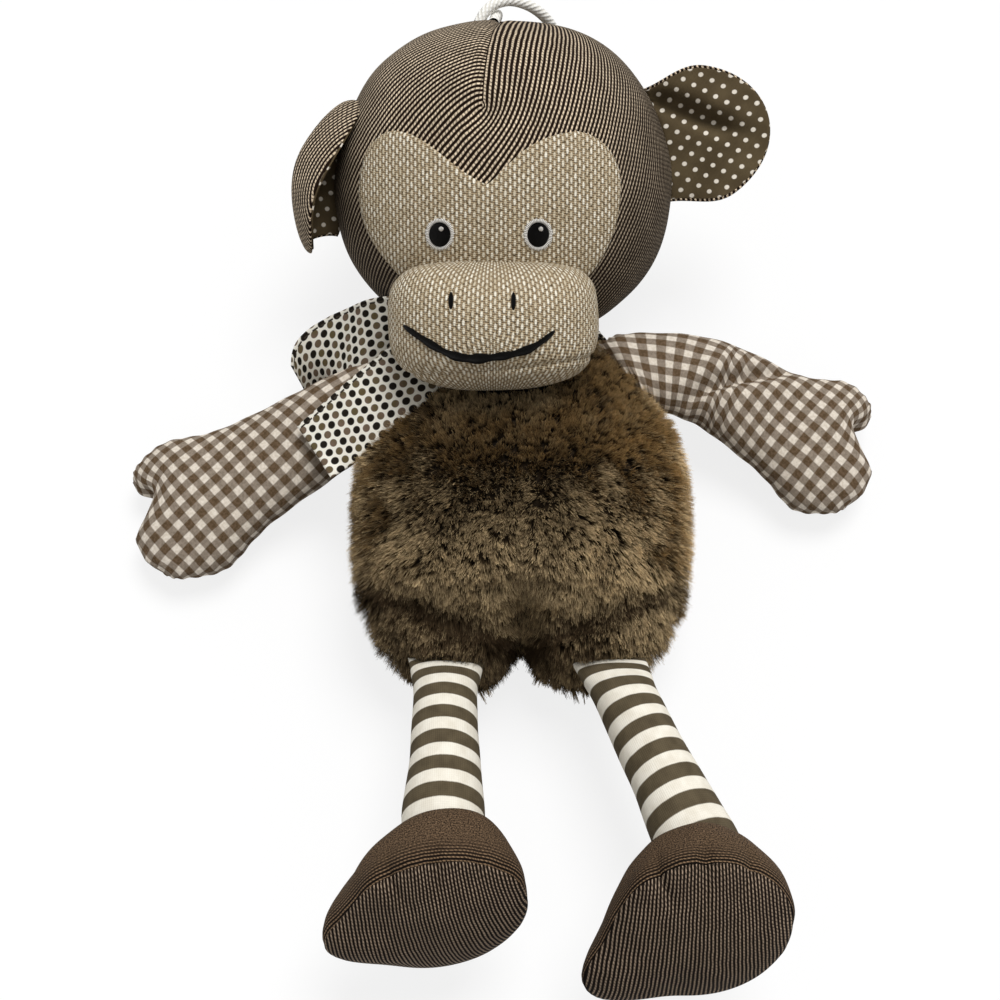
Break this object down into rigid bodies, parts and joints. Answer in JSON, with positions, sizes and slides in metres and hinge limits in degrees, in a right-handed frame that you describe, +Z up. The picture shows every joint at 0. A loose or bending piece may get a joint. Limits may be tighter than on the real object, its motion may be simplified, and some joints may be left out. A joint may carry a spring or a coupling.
{
  "type": "plush monkey",
  "caption": "Soft stuffed monkey with a furry body, ribbed-cloth head and feet, checked arms, striped legs, spotted ear linings, a neck ribbon and a hanging cord loop.",
  "frame": {"origin": "middle of the flat of the back, on the surface that the toy lies on", "axes": "+Y towards the head, +Z up out of the belly, +X to the toy's own left"},
  "size_m": [0.2904, 0.3754, 0.1157],
  "materials": {
    "faux_fur": "dark brown pile with tan tips",
    "ribbed_twill": "near-black twill with cream ribs",
    "basket_linen": "tan basket weave",
    "dotted_cotton": "olive-taupe cotton with off-white pin dots",
    "checked_cotton": "taupe and white gingham",
    "striped_jersey": "cream and dark taupe stripes",
    "dotted_ribbon": "off-white cotton with black and taupe dots",
    "black_thread": "satin stitch",
    "white_thread": "satin stitch",
    "braided_cord": "white braid",
    "fibre_filling": "loose polyester fibre"
  },
  "bodies": {
    "torso": {"body_front_left_panel": "faux_fur", "body_front_right_panel": "faux_fur", "body_back_panel": "faux_fur", "body_filling": "fibre_filling", "ribbon_neck_band": "dotted_ribbon", "ribbon_knot": "dotted_ribbon", "ribbon_front_tail": "dotted_ribbon", "ribbon_back_tail": "dotted_ribbon"},
    "head": {"head_front_panel": "ribbed_twill", "head_back_panel": "ribbed_twill", "head_filling": "fibre_filling", "face_patch": "basket_linen", "muzzle_upper_panel": "basket_linen", "muzzle_chin_panel": "basket_linen", "muzzle_filling": "fibre_filling", "mouth_stitch": "black_thread", "left_eye": "black_thread", "left_eye_ring": "white_thread", "left_eye_highlight": "white_thread", "left_nostril": "black_thread", "right_eye": "black_thread", "right_eye_ring": "white_thread", "right_eye_highlight": "white_thread", "right_nostril": "black_thread", "hanging_loop": "braided_cord"},
    "left_ear": {"left_ear_lining": "dotted_cotton", "left_ear_back": "ribbed_twill"},
    "left_arm": {"left_arm_front_panel": "checked_cotton", "left_arm_back_panel": "checked_cotton", "left_arm_filling": "fibre_filling"},
    "left_leg": {"left_leg_sleeve": "striped_jersey", "left_leg_filling": "fibre_filling"},
    "left_foot": {"left_foot_upper": "ribbed_twill", "left_foot_sole": "ribbed_twill", "left_foot_filling": "fibre_filling"},
    "right_ear": {"right_ear_lining": "dotted_cotton", "right_ear_back": "ribbed_twill"},
    "right_arm": {"right_arm_front_panel": "checked_cotton", "right_arm_back_panel": "checked_cotton", "right_arm_filling": "fibre_filling"},
    "right_leg": {"right_leg_sleeve": "striped_jersey", "right_leg_filling": "fibre_filling"},
    "right_foot": {"right_foot_upper": "ribbed_twill", "right_foot_sole": "ribbed_twill", "right_foot_filling": "fibre_filling"}
  },
  "joints": [
    {"name": "head_turn", "type": "hinge", "parent": "torso", "child": "head", "pos_m": [0, 0.072, 0.033], "axis": [0, 1, 0], "range_deg": [-12, 12], "stiffness_Nm_per_rad": 0.5, "deforming": ["ribbon_front_tail", "ribbon_back_tail"]},
    {"name": "left_ear_fold", "type": "hinge", "parent": "head", "child": "left_ear", "pos_m": [0.05747, 0.13599, 0.0666], "axis": [0.2419, -0.8486, -0.4704], "range_deg": [-30, 15], "stiffness_Nm_per_rad": 0.03},
    {"name": "right_ear_fold", "type": "hinge", "parent": "head", "child": "right_ear", "pos_m": [-0.07249, 0.1255, 0.06078], "axis": [0.2419, 0.8486, 0.4704], "range_deg": [-48, 0], "stiffness_Nm_per_rad": 0.03},
    {"name": "left_arm_swing", "type": "hinge", "parent": "torso", "child": "left_arm", "pos_m": [0.04152, 0.05625, 0.038], "axis": [0.5836, -0.8121, 0], "range_deg": [-20, 35], "stiffness_Nm_per_rad": 0.3},
    {"name": "right_arm_swing", "type": "hinge", "parent": "torso", "child": "right_arm", "pos_m": [-0.04152, 0.05625, 0.038], "axis": [0.5836, 0.8121, 0], "range_deg": [-20, 35], "stiffness_Nm_per_rad": 0.3, "deforming": ["ribbon_front_tail", "ribbon_back_tail"]},
    {"name": "left_hip_swing", "type": "hinge", "parent": "torso", "child": "left_leg", "pos_m": [0.031, -0.064, 0.04], "axis": [-1, 0, 0], "range_deg": [-25, 35], "stiffness_Nm_per_rad": 0.35},
    {"name": "right_hip_swing", "type": "hinge", "parent": "torso", "child": "right_leg", "pos_m": [-0.0275, -0.064, 0.04], "axis": [-1, 0, 0], "range_deg": [-25, 35], "stiffness_Nm_per_rad": 0.35},
    {"name": "left_ankle_flex", "type": "hinge", "parent": "left_leg", "child": "left_foot", "pos_m": [0.06041, -0.12978, 0.05058], "axis": [-1, 0, 0], "range_deg": [-20, 20], "stiffness_Nm_per_rad": 0.15},
    {"name": "right_ankle_flex", "type": "hinge", "parent": "right_leg", "child": "right_foot", "pos_m": [-0.0275, -0.12163, 0.05299], "axis": [-1, 0, 0], "range_deg": [-20, 20], "stiffness_Nm_per_rad": 0.15}
  ]
}
